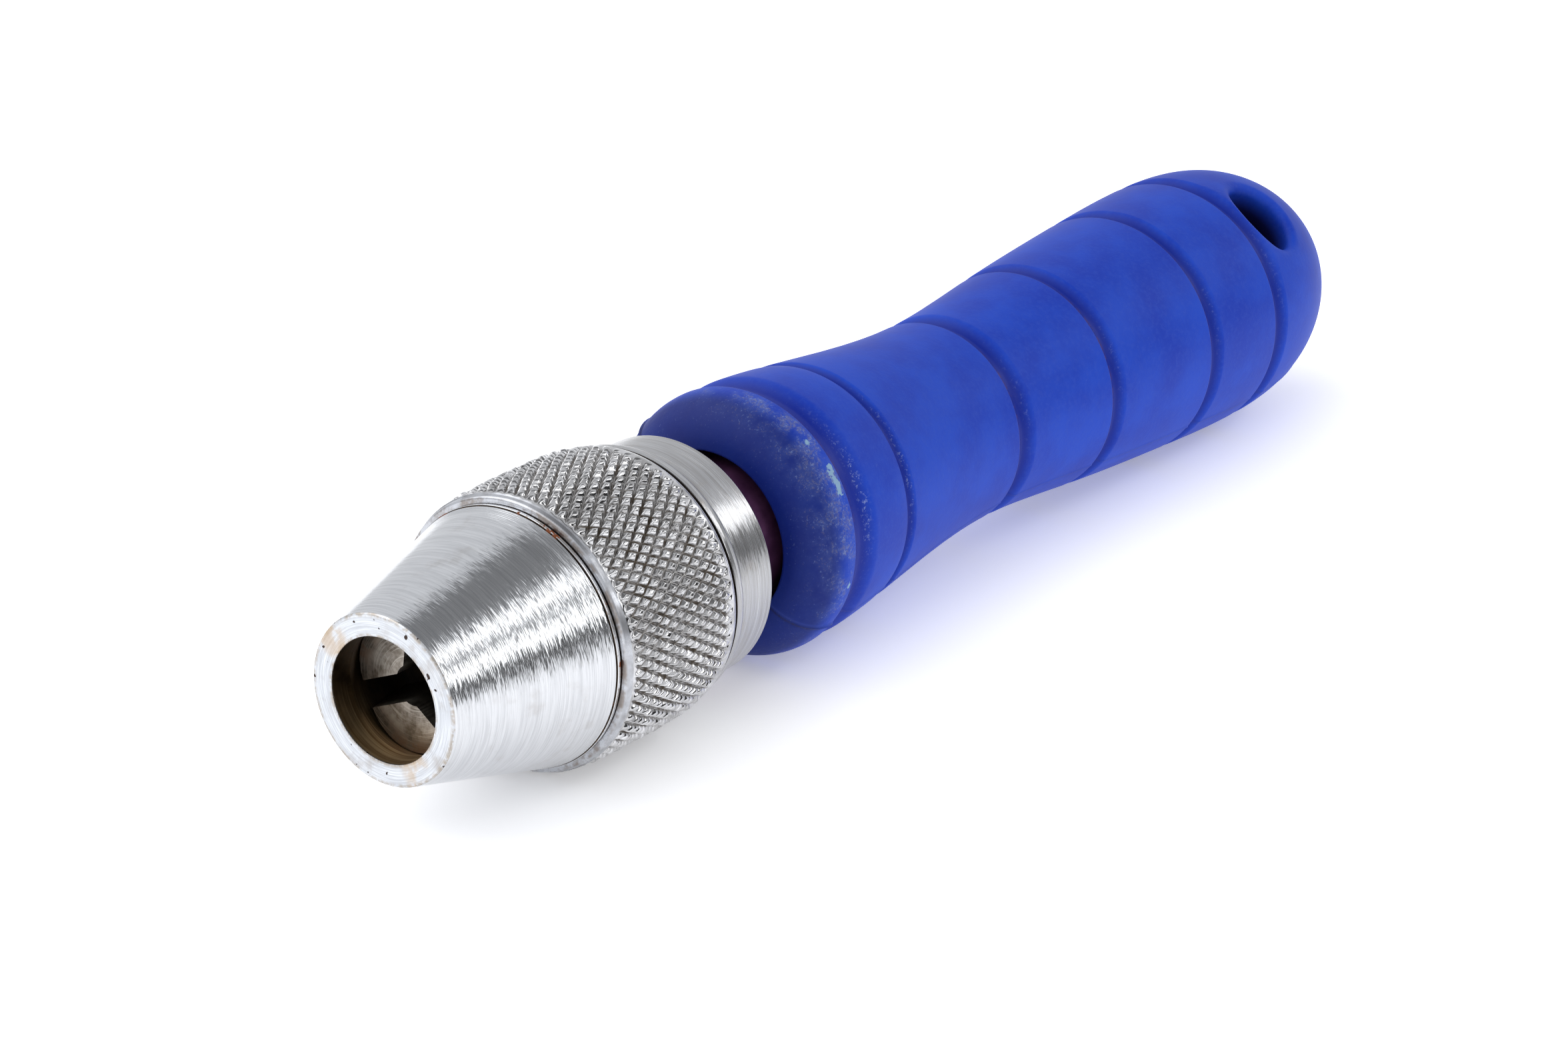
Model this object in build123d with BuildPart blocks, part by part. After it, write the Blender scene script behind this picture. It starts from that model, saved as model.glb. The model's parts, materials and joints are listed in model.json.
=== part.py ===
"""Hand pin vise: a keyless three-jaw chuck on a moulded plastic handle.

The tool lies along X.  The origin is the centre of the nose's mouth, +X runs along the axis
to the tail, and +Z is up.  Turning the knurled sleeve about X winds the feed screw along the
axis; the screw pushes the three jaws along the cone inside the nose, which closes them.
The model is drawn with the jaws part open.  All sizes are in millimetres.
"""

from build123d import *

import math
import os

# Nose: a hollow steel cone
NOSE_R = 8.7
MOUTH_R = 6.4
MOUTH_LENGTH = 2.7
CONE_LENGTH = 19.1
CONE_END_R = 13.62
INNER_HALF_ANGLE = 20.0
HOOD_BORE_R = 11.6
SKIRT_R = 12.5
SKIRT_END = 33.0

# Knurled sleeve, pressed over the skirt of the nose
SLEEVE_START = 19.2
SLEEVE_END = 37.0
LIP_R = 14.2
SLEEVE_R = 14.8
SLEEVE_REAR_R = 14.0

# Jaws: three sectors that close on the axis
JAW_FACE = 4.4
GRIP_R = 2.1
HALF_GAP = 1.4
CLOSING = 1.55
OPENING = 1.15
JAW_BAR_WIDTH = 5.0
JAW_REAR_R = 8.3
CONE_PLAY = 0.05
JAW_ANGLES = (37.7, 157.7, 277.7)

# Feed screw: a three-armed head that carries the jaws, on a threaded shank
HEAD_FRONT = 21.46
HEAD_THICKNESS = 4.6
ARM_R = 11.2
ARM_WIDTH = 6.4
NECK_WIDTH = 2.6
NECK_DEPTH = 1.6
HOOK_WIDTH = 4.4
HOOK_DEPTH = 1.6
SLOT_PLAY = 0.1
SHANK_R = 5.0
SHANK_LENGTH = 17.0

# Jaw guide: a slotted tube inside the nose that turns the screw head
GUIDE_INNER_R = 9.6
GUIDE_START = 17.2
GUIDE_END = 30.2
GUIDE_SLOT = 6.56
GUIDE_BACK_RING = 0.8

# Chuck body, thrust bearing and the ring that holds the sleeve on
FLANGE_FRONT = 30.8
FLANGE_BACK = 32.2
FLANGE_R = 11.0
JOURNAL_R = 8.6
RUNNING_PLAY = 0.08
SHANK_PLAY = 0.05
RACE_THICKNESS = 0.6
BALL_R = 0.87
BALL_CIRCLE_R = 9.9
BALL_COUNT = 14
CAGE_THICKNESS = 0.6
RETAINER_R = 12.3
COLLAR_START = 37.2
COLLAR_END = 44.6
COLLAR_SHOULDER_R = 13.75
COLLAR_R = 12.75
SEAT_R = 8.5
NECK_R = 7.8
BODY_END = 59.5

# Handle
HANDLE_FRONT = 51.1
RECESS_R = 9.2
RECESS_END = 60.3
STUD_R = 4.0
STUD_START = 49.6
STUD_END = 84.0
INSERT_R = 6.4
INSERT_LENGTH = 26.0
HANDLE_END = 163.3
# Each ring groove: place along the axis, radius of the handle at its floor, and radius of its round
RING_GROOVES = (
    (58.2, 13.75, 1.9),
    (67.9, 13.2, 1.3),
    (92.4, 11.1, 1.3),
    (109.0, 12.35, 1.3),
    (127.6, 13.7, 1.3),
    (140.8, 14.25, 1.3),
)
HANG_HOLE_X = 146.6
HANG_HOLE_R = 3.4
HANG_HOLE_ROUND = 1.0
HANG_HOLE_TILT = 37.5

INNER_SLOPE = math.tan(math.radians(INNER_HALF_ANGLE))


def hood_inner_r(x):
    """Radius of the cone inside the nose at x."""
    return MOUTH_R + (x - MOUTH_LENGTH) * INNER_SLOPE


def annulus(inner_r, outer_r, x):
    """A flat ring about the X axis, facing +X at x."""
    with BuildSketch(Plane.YZ.offset(x)) as flat_ring:
        Circle(outer_r)
        Circle(inner_r, mode=Mode.SUBTRACT)
    return flat_ring.sketch


def half_section(points):
    """A closed (x, r) outline, to be turned about the X axis."""
    with BuildSketch(Plane.XZ) as section:
        with BuildLine():
            Polyline(*points, close=True)
        make_face()
    return section.sketch


def finish(part, name):
    """Name a finished piece and write it."""
    part.label = name
    export_step(part, f"parts/{name}.step")


os.makedirs("parts", exist_ok=True)

# Nose hood: outer cone, short cylindrical mouth, inner cone, and the skirt behind the seam
bore_start = MOUTH_LENGTH + (HOOD_BORE_R - MOUTH_R) / INNER_SLOPE
with BuildPart() as nose_hood:
    revolve(
        half_section(
            [
                (0, MOUTH_R),
                (0, NOSE_R),
                (CONE_LENGTH, CONE_END_R),
                (CONE_LENGTH, SKIRT_R),
                (SKIRT_END, SKIRT_R),
                (SKIRT_END, HOOD_BORE_R),
                (bore_start, HOOD_BORE_R),
                (MOUTH_LENGTH, MOUTH_R),
            ]
        ),
        axis=Axis.X,
    )
    rims = nose_hood.edges().filter_by(GeomType.CIRCLE)
    chamfer(rims.group_by(Axis.X)[0].sort_by(SortBy.RADIUS)[-1], length=0.15)
    fillet(rims.sort_by(SortBy.RADIUS)[-1], radius=0.25)
finish(nose_hood.part, "nose_hood")

# Knurled sleeve: a barrel with a rounded lip in front and a plain land behind
with BuildPart() as knurled_sleeve:
    with BuildSketch(Plane.XZ):
        with BuildLine():
            inner_front = (SLEEVE_START, SKIRT_R)
            lip_foot = (SLEEVE_START, LIP_R - 0.35)
            lip_top = (SLEEVE_START + 0.35, LIP_R)
            barrel_front = (22.6, SLEEVE_R - 0.05)
            barrel_back = (33.0, SLEEVE_R - 0.05)
            land_end = (SLEEVE_END - 0.2, SLEEVE_REAR_R)
            Line(inner_front, lip_foot)
            ThreePointArc(lip_foot, (SLEEVE_START + 0.1, LIP_R - 0.1), lip_top)
            ThreePointArc(lip_top, (21.0, 14.6), barrel_front)
            ThreePointArc(barrel_front, (27.8, SLEEVE_R), barrel_back)
            ThreePointArc(barrel_back, (35.1, 14.5), land_end)
            Polyline(
                land_end,
                (SLEEVE_END, SLEEVE_REAR_R - 0.25),
                (SLEEVE_END, RETAINER_R),
                (SKIRT_END, RETAINER_R),
                (SKIRT_END, SKIRT_R),
                inner_front,
            )
        make_face()
    revolve(axis=Axis.X)
finish(knurled_sleeve.part, "knurled_sleeve")

# Jaw guide: a slotted tube pressed into the hood; the screw head's arms slide in its slots
with BuildPart() as jaw_guide:
    extrude(annulus(GUIDE_INNER_R, HOOD_BORE_R, GUIDE_START), amount=GUIDE_END - GUIDE_START)
    with BuildSketch(Plane.YZ.offset(GUIDE_START)):
        with PolarLocations(HOOD_BORE_R, 3, start_angle=JAW_ANGLES[0]):
            Rectangle(HOOD_BORE_R, GUIDE_SLOT)
    extrude(amount=GUIDE_END - GUIDE_BACK_RING - GUIDE_START, mode=Mode.SUBTRACT)
finish(jaw_guide.part, "jaw_guide")

# Feed screw: three arms with T-slots on the front of a threaded shank
hook_inner_r = 3.75
hook_outer_r = 7.75
slot_inner_r = hook_inner_r - CLOSING - 0.3
with BuildPart() as feed_screw:
    with BuildSketch(Plane.YZ.offset(HEAD_FRONT)):
        with PolarLocations(ARM_R / 2, 3, start_angle=JAW_ANGLES[0]):
            Rectangle(ARM_R + 2, ARM_WIDTH)
        Circle(ARM_R, mode=Mode.INTERSECT)
        Circle(SHANK_R + 1)
    extrude(amount=HEAD_THICKNESS)
    # The T-slots: a narrow neck open to the front, over a wider channel for the jaw's hook
    for start, depth, width in (
        (HEAD_FRONT, NECK_DEPTH + HOOK_DEPTH, NECK_WIDTH),
        (HEAD_FRONT + NECK_DEPTH, HOOK_DEPTH + SLOT_PLAY, HOOK_WIDTH),
    ):
        with BuildSketch(Plane.YZ.offset(start)):
            with PolarLocations((slot_inner_r + ARM_R + 1) / 2, 3, start_angle=JAW_ANGLES[0]):
                Rectangle(ARM_R + 1 - slot_inner_r, width + 2 * SLOT_PLAY)
        extrude(amount=depth, mode=Mode.SUBTRACT)
    with BuildSketch(Plane.YZ.offset(HEAD_FRONT + HEAD_THICKNESS)):
        Circle(SHANK_R)
    extrude(amount=SHANK_LENGTH)
    shank_tip = feed_screw.edges().filter_by(GeomType.CIRCLE).sort_by(Axis.X)[-1]
    chamfer(shank_tip, length=0.6)
finish(feed_screw.part, "feed_screw")

# Jaws: the wedge face fits the hood's inner cone where the jaws are shut, so it is turned about
# a line that lies CLOSING out from the tool's axis while the jaws stand part open
flank_r = JAW_REAR_R + 3
closed_half_gap = HALF_GAP - CLOSING * math.sin(math.radians(60))
corner = CLOSING + closed_half_gap / math.sin(math.radians(60))
closed_shift = CLOSING / INNER_SLOPE
wedge_front_r = hood_inner_r(JAW_FACE - closed_shift) - CONE_PLAY
wedge_end = MOUTH_LENGTH + closed_shift + (JAW_REAR_R - MOUTH_R + CONE_PLAY) / INNER_SLOPE
hook_end = HEAD_FRONT + NECK_DEPTH + HOOK_DEPTH
with BuildPart() as jaw:
    # Two flat flanks at 60 degrees to the jaw's middle
    with BuildSketch(Plane.YZ.offset(JAW_FACE)):
        with BuildLine():
            Polyline(
                (corner, 0),
                (corner + flank_r * math.cos(math.radians(60)), flank_r * math.sin(math.radians(60))),
                (corner + 2 * flank_r, flank_r * math.sin(math.radians(60))),
                (corner + 2 * flank_r, -flank_r * math.sin(math.radians(60))),
                (corner + flank_r * math.cos(math.radians(60)), -flank_r * math.sin(math.radians(60))),
                close=True,
            )
        make_face()
    extrude(amount=HEAD_FRONT - SLOT_PLAY - JAW_FACE)
    # Behind the wedge only a bar is left, narrow enough for the guide's slot
    with BuildSketch(Plane.YZ.offset(wedge_end)):
        for hand in (-1, 1):
            with Locations((flank_r, hand * (JAW_BAR_WIDTH / 2 + flank_r))):
                Rectangle(4 * flank_r, 2 * flank_r)
    extrude(amount=HEAD_FRONT - wedge_end, mode=Mode.SUBTRACT)
    # T-shaped hook: neck, then the wider foot
    for start, end, width in (
        (HEAD_FRONT - SLOT_PLAY, hook_end, NECK_WIDTH),
        (HEAD_FRONT + NECK_DEPTH + SLOT_PLAY, hook_end, HOOK_WIDTH),
    ):
        with BuildSketch(Plane.YZ.offset(start)):
            with Locations(((hook_inner_r + hook_outer_r) / 2, 0)):
                Rectangle(hook_outer_r - hook_inner_r, width)
        extrude(amount=end - start)
    # Outer form, turned
    with BuildSketch(Plane.XZ.offset(-CLOSING)):
        with BuildLine():
            Polyline(
                (JAW_FACE, 0),
                (JAW_FACE, wedge_front_r),
                (wedge_end, JAW_REAR_R),
                (hook_end, JAW_REAR_R),
                (hook_end, 0),
                close=True,
            )
        make_face()
    revolve(axis=Axis((0, CLOSING, 0), (1, 0, 0)), mode=Mode.INTERSECT)
    # Hollow ground tip, which grips a round shank
    with BuildSketch(Plane.YZ.offset(JAW_FACE)):
        Circle(GRIP_R)
    extrude(amount=hook_end - JAW_FACE, mode=Mode.SUBTRACT)
for number, angle in enumerate(JAW_ANGLES, start=1):
    finish(jaw.part.rotate(Axis.X, angle), f"jaw_{number}")

# Chuck body: front flange, journal for the sleeve, seat for the collar, and neck
with BuildPart() as chuck_body:
    revolve(
        half_section(
            [
                (FLANGE_FRONT, 0),
                (FLANGE_FRONT, FLANGE_R),
                (FLANGE_BACK, FLANGE_R),
                (FLANGE_BACK, JOURNAL_R),
                (COLLAR_START, JOURNAL_R),
                (COLLAR_START, SEAT_R),
                (COLLAR_END, SEAT_R),
                (COLLAR_END, NECK_R),
                (BODY_END, NECK_R),
                (BODY_END, 0),
            ]
        ),
        axis=Axis.X,
    )
    with BuildSketch(Plane.YZ.offset(FLANGE_FRONT)):
        Circle(SHANK_R + SHANK_PLAY)
    extrude(amount=STUD_START - 1.6 - FLANGE_FRONT, mode=Mode.SUBTRACT)
    with BuildSketch(Plane.YZ.offset(STUD_START)):
        Circle(STUD_R)
    extrude(amount=BODY_END - STUD_START, mode=Mode.SUBTRACT)
finish(chuck_body.part, "chuck_body")

# Rear collar: a shoulder, a small cove and a plain turned barrel
with BuildPart() as rear_collar:
    with BuildSketch(Plane.XZ):
        with BuildLine():
            shoulder_end = (COLLAR_START + 0.9, COLLAR_SHOULDER_R)
            cove_end = (COLLAR_START + 1.9, COLLAR_R + 0.1)
            Polyline(
                cove_end,
                (COLLAR_END - 0.15, COLLAR_R),
                (COLLAR_END, COLLAR_R - 0.15),
                (COLLAR_END, SEAT_R),
                (COLLAR_START, SEAT_R),
                (COLLAR_START, COLLAR_SHOULDER_R - 0.2),
                (COLLAR_START + 0.2, COLLAR_SHOULDER_R),
                shoulder_end,
            )
            SagittaArc(shoulder_end, cove_end, -0.15)
        make_face()
    revolve(axis=Axis.X)
finish(rear_collar.part, "rear_collar")

# Thrust bearing between the body's flange and the ring that holds the sleeve on
body_race_end = FLANGE_BACK + RACE_THICKNESS
ball_x = body_race_end + 0.9
ring_race_start = ball_x + 0.9
retainer_start = ring_race_start + RACE_THICKNESS
race_outer_r = FLANGE_R + 0.2
cage_start = ball_x - CAGE_THICKNESS / 2

with BuildPart() as body_race:
    extrude(annulus(JOURNAL_R + 0.02, race_outer_r, FLANGE_BACK), amount=RACE_THICKNESS)
finish(body_race.part, "body_race")

with BuildPart() as ring_race:
    extrude(annulus(JOURNAL_R + 0.2, race_outer_r, ring_race_start), amount=RACE_THICKNESS)
finish(ring_race.part, "ring_race")

with BuildPart() as ball_cage:
    extrude(annulus(JOURNAL_R + 0.15, race_outer_r, cage_start), amount=CAGE_THICKNESS)
    with BuildSketch(Plane.YZ.offset(cage_start)):
        with PolarLocations(BALL_CIRCLE_R, BALL_COUNT):
            Circle(BALL_R + 0.06)
    extrude(amount=CAGE_THICKNESS, mode=Mode.SUBTRACT)
finish(ball_cage.part, "ball_cage")

with BuildPart() as thrust_balls:
    with Locations(Plane.YZ.offset(ball_x)):
        with PolarLocations(BALL_CIRCLE_R, BALL_COUNT):
            Sphere(BALL_R)
finish(thrust_balls.part, "thrust_balls")

with BuildPart() as sleeve_retainer:
    retainer_length = SLEEVE_END - 0.2 - retainer_start
    extrude(annulus(JOURNAL_R + RUNNING_PLAY, RETAINER_R, retainer_start), amount=retainer_length)
finish(sleeve_retainer.part, "sleeve_retainer")

# Stud, insert and washer that join the chuck to the handle
with BuildPart() as mounting_stud:
    with BuildSketch(Plane.YZ.offset(STUD_START)):
        Circle(STUD_R)
    extrude(amount=STUD_END - STUD_START)
    stud_ends = mounting_stud.edges().filter_by(GeomType.CIRCLE)
    chamfer(stud_ends, length=0.5)
finish(mounting_stud.part, "mounting_stud")

with BuildPart() as handle_insert:
    with BuildSketch(Plane.YZ.offset(RECESS_END)):
        RegularPolygon(radius=INSERT_R, side_count=6)
        Circle(STUD_R, mode=Mode.SUBTRACT)
    extrude(amount=INSERT_LENGTH)
finish(handle_insert.part, "handle_insert")

with BuildPart() as lock_washer:
    extrude(annulus(STUD_R + 0.2, NECK_R - 0.6, BODY_END), amount=RECESS_END - BODY_END)
finish(lock_washer.part, "lock_washer")

# Handle: a waisted grip with a domed front, ring grooves and a hang hole through the tail
hang_direction = (0, -math.sin(math.radians(HANG_HOLE_TILT)), math.cos(math.radians(HANG_HOLE_TILT)))
with BuildPart() as handle_grip:
    with BuildSketch(Plane.XZ):
        with BuildLine():
            front_edge = (HANDLE_FRONT, RECESS_R)
            crest = (56.4, 14.35)
            tail = (HANDLE_END, 0)
            ThreePointArc(front_edge, (52.65, 12.8), crest)
            Spline(
                crest,
                (67.9, 13.55),
                (92.4, 11.5),
                (109.0, 12.75),
                (127.6, 14.1),
                (140.8, 14.65),
                (152.1, 13.15),
                tail,
                tangents=((1, 0), (0, -1)),
            )
            Polyline(tail, (RECESS_END, 0), (RECESS_END, RECESS_R), front_edge)
        make_face()
        for x, floor_r, round_r in RING_GROOVES:
            with Locations((x, floor_r + round_r)):
                Circle(round_r, mode=Mode.SUBTRACT)
    revolve(axis=Axis.X)
    with BuildSketch(Plane.YZ.offset(RECESS_END)):
        RegularPolygon(radius=INSERT_R, side_count=6)
    extrude(amount=INSERT_LENGTH, mode=Mode.SUBTRACT)
    with BuildSketch(Plane(origin=(HANG_HOLE_X, 0, 0), x_dir=(1, 0, 0), z_dir=hang_direction)):
        Circle(HANG_HOLE_R)
    extrude(amount=20, both=True, mode=Mode.SUBTRACT)
    hole_mouths = handle_grip.edges(Select.LAST).filter_by(GeomType.BSPLINE)
    fillet(hole_mouths, radius=HANG_HOLE_ROUND)
finish(handle_grip.part, "handle_grip")
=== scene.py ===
"""Looks of a hand pin vise: a keyless chuck with a knurled sleeve on a blue moulded handle.

The tool lies along X, from the nose at the origin to the tail.  Angles about the axis are
measured from +Z towards +Y.  Shapes are worked out in millimetres and built in metres.
"""

import json
import math

import bpy
import numpy as np
from mathutils import Matrix, Vector


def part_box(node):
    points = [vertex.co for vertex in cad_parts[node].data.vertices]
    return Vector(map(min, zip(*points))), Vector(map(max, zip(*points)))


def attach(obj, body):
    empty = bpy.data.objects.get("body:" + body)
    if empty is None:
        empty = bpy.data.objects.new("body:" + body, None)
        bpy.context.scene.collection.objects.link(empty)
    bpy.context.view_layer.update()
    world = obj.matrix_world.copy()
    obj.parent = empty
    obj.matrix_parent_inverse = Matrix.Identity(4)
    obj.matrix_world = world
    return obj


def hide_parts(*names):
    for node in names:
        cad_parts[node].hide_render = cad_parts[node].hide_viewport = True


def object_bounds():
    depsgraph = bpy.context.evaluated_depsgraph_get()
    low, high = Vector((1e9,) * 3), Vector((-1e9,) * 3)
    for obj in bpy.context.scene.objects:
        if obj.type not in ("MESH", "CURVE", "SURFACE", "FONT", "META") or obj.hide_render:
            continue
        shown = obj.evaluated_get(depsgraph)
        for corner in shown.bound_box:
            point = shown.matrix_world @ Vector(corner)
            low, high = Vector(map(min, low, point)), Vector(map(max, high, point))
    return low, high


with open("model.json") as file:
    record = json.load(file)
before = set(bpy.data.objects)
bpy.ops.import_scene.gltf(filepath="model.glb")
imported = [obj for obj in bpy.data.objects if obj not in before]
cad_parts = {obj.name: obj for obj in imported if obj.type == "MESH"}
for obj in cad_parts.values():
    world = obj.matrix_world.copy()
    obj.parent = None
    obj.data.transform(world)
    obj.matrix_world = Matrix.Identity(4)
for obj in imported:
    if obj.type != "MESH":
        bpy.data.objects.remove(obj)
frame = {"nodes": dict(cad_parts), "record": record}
CAD_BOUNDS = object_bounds()

MM = 0.001
rng = np.random.default_rng(41)


# ---------------------------------------------------------------- places taken from the frame

def extent(node):
    """First and last place along the axis, and largest radius, of a CAD node, in mm."""
    low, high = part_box(node)
    return low.x / MM, high.x / MM, max(high.y, high.z) / MM


def mount(name):
    """The record's mount of that name."""
    return next(m for m in frame["record"]["mounts"] if m["name"] == name)


def outline(node, xs, bore):
    """Outer radius of a turned CAD node at each x, in mm, ignoring all inside the bore radius."""
    mesh = frame["nodes"][node].data
    points = np.empty(len(mesh.vertices) * 3)
    mesh.vertices.foreach_get("co", points)
    points = points.reshape(-1, 3) / MM
    edges = np.empty(len(mesh.edges) * 2, int)
    mesh.edges.foreach_get("vertices", edges)
    edges = edges.reshape(-1, 2)
    radius = np.hypot(points[:, 1], points[:, 2])
    edges = edges[(radius[edges] > bore).all(axis=1)]
    x0, x1 = points[edges[:, 0], 0], points[edges[:, 1], 0]
    r0, r1 = radius[edges[:, 0]], radius[edges[:, 1]]
    found = []
    for x in xs:
        crossing = (np.minimum(x0, x1) <= x) & (np.maximum(x0, x1) >= x)
        span = np.where(np.abs(x1 - x0) < 1e-6, 1e-6, x1 - x0)[crossing]
        share = np.clip((x - x0[crossing]) / span, 0, 1)
        at = r0[crossing] + share * (r1 - r0)[crossing]
        found.append(at.max() if at.size else np.nan)
    return np.array(found)


mouth_r = mount("mouth")["dims"]["r_mm"]
mouth_length = mount("mouth")["dims"]["length_mm"]
hole_r = mount("hang_hole")["dims"]["r_mm"]
hole_x = mount("hang_hole")["pos_m"][0] / MM
hole_axis = Vector(mount("hang_hole")["axis"])
hole_angle = math.atan2(hole_axis.y, hole_axis.z)

_, _, cone_end_r = extent("nose_hood")
nose_r = outline("nose_hood", [0.3], mouth_r + 0.2)[0] - 0.3 * (cone_end_r - mouth_r) / 60
sleeve_start, sleeve_end, sleeve_r = extent("knurled_sleeve")
collar_start, collar_end, shoulder_r = extent("rear_collar")
handle_start, handle_end, _ = extent("handle_grip")
floor_z = CAD_BOUNDS[0][2]

SEAM_GAP = 0.07
SKIRT_END = 33.0
SLEEVE_BORE_R, SLEEVE_REAR_BORE_R = 12.52, 12.32
SLEEVE_METAL_R = 13.0
COLLAR_BORE_R = 8.5
RECESS_R, RECESS_END = 9.2, 60.3
POCKET_R, POCKET_END = 6.5, 86.3


# ---------------------------------------------------------------- meshes

def smoothstep(value, low, high):
    """0 below low, 1 above high, and smooth between."""
    t = np.clip((value - low) / (high - low), 0, 1)
    return t * t * (3 - 2 * t)


def resample(points, spacing):
    """Points at an even spacing along an open outline of (x, r)."""
    points = np.asarray(points, float)
    travelled = np.concatenate([[0], np.cumsum(np.hypot(*np.diff(points, axis=0).T))])
    count = max(2, int(round(travelled[-1] / spacing)) + 1)
    at = np.linspace(0, travelled[-1], count)
    return np.column_stack([np.interp(at, travelled, points[:, k]) for k in (0, 1)])


def tool_marks(count, pitch, share):
    """A random ring-by-ring depth from 0 to 1, as a lathe leaves, with cuts `pitch` rows apart."""
    marks = rng.random(count) * (1 - share)
    marks += share * (0.5 + 0.5 * np.cos(np.arange(count) * 2 * math.pi / pitch))
    return marks


def make_object(name, vertices, faces, materials, zones=None, sharp=30):
    """A mesh object from points in mm, with a material number for each face."""
    mesh = bpy.data.meshes.new(name)
    mesh.from_pydata((np.asarray(vertices) * MM).tolist(), [], faces)
    for material in materials:
        mesh.materials.append(material)
    if zones is not None:
        mesh.polygons.foreach_set("material_index", np.asarray(zones, np.int32))
    mesh.polygons.foreach_set("use_smooth", [True] * len(mesh.polygons))
    mesh.update()
    mesh.validate()
    if sharp:
        mesh.set_sharp_from_angle(angle=math.radians(sharp))
    thing = bpy.data.objects.new(name, mesh)
    bpy.context.scene.collection.objects.link(thing)
    return thing


def ring_points(x, r, angles):
    """Points in mm at every angle for each row of (x, r); r may vary with the angle."""
    x = np.asarray(x, float)
    r = np.asarray(r, float)
    if r.ndim == 1:
        r = np.repeat(r[:, None], len(angles), axis=1)
    grid = np.empty(r.shape + (3,))
    grid[..., 0] = x[:, None]
    grid[..., 1] = r * np.sin(angles)
    grid[..., 2] = r * np.cos(angles)
    return grid.reshape(-1, 3)


def ring_faces(rows, columns):
    """Quads that join neighbouring rows of a turned grid, and the last row to the first."""
    faces = []
    for row in range(rows):
        here, there = row * columns, ((row + 1) % rows) * columns
        for column in range(columns):
            after = (column + 1) % columns
            faces.append((here + column, there + column, there + after, here + after))
    return faces


def turned(name, sections, columns, materials, sharp=30):
    """A closed turned piece.  Each section is (rows of (x, r), material number), in order round
    the outline; the outline runs so that the outside faces away from the metal."""
    rows = np.concatenate([section for section, _ in sections])
    row_zone = np.concatenate([[zone] * len(section) for section, zone in sections])
    angles = np.arange(columns) * 2 * math.pi / columns
    faces = ring_faces(len(rows), columns)
    zones = np.repeat(row_zone, columns)
    return make_object(name, ring_points(rows[:, 0], rows[:, 1], angles), faces, materials, zones, sharp)


# ---------------------------------------------------------------- materials

class Nodes:
    """Short calls that build a node tree.  A value is a number, a colour or another node's output."""

    def __init__(self, tree, place):
        self.tree = tree
        tree.nodes.clear()
        self.place = self.add("ShaderNodeTexCoord").outputs[place]
        split = self.add("ShaderNodeSeparateXYZ")
        self.join(self.place, split.inputs[0])
        self.x, self.y, self.z = split.outputs

    def add(self, kind, **settings):
        node = self.tree.nodes.new(kind)
        for name, value in settings.items():
            setattr(node, name, value)
        return node

    def join(self, value, socket):
        if isinstance(value, bpy.types.NodeSocket):
            self.tree.links.new(value, socket)
        elif isinstance(value, (tuple, list)) and len(value) == 3 and socket.type == "RGBA":
            socket.default_value = (*value, 1.0)
        else:
            socket.default_value = value

    def math(self, operation, a, b=0.0, c=None):
        node = self.add("ShaderNodeMath", operation=operation)
        self.join(a, node.inputs[0])
        self.join(b, node.inputs[1])
        if c is not None:
            self.join(c, node.inputs[2])
        return node.outputs[0]

    def times(self, a, b):
        return self.math("MULTIPLY", a, b)

    def line(self, value, slope, offset):
        """value * slope + offset."""
        return self.math("MULTIPLY_ADD", value, slope, offset)

    def step(self, value, low, high):
        """0 at low, 1 at high, smooth and clamped between; low may be above high."""
        node = self.add("ShaderNodeMapRange", interpolation_type="SMOOTHSTEP")
        self.join(value, node.inputs["Value"])
        node.inputs["From Min"].default_value = min(low, high)
        node.inputs["From Max"].default_value = max(low, high)
        node.inputs["To Min"].default_value = float(low > high)
        node.inputs["To Max"].default_value = float(low <= high)
        return node.outputs["Result"]

    def scale(self, low, high, value):
        """Takes 0..1 to low..high."""
        return self.line(value, high - low, low)

    def mix(self, share, a, b):
        node = self.add("ShaderNodeMix", data_type="RGBA", clamp_factor=True)
        self.join(share, node.inputs["Factor"])
        self.join(a, node.inputs[6])
        self.join(b, node.inputs[7])
        return node.outputs[2]


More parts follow.
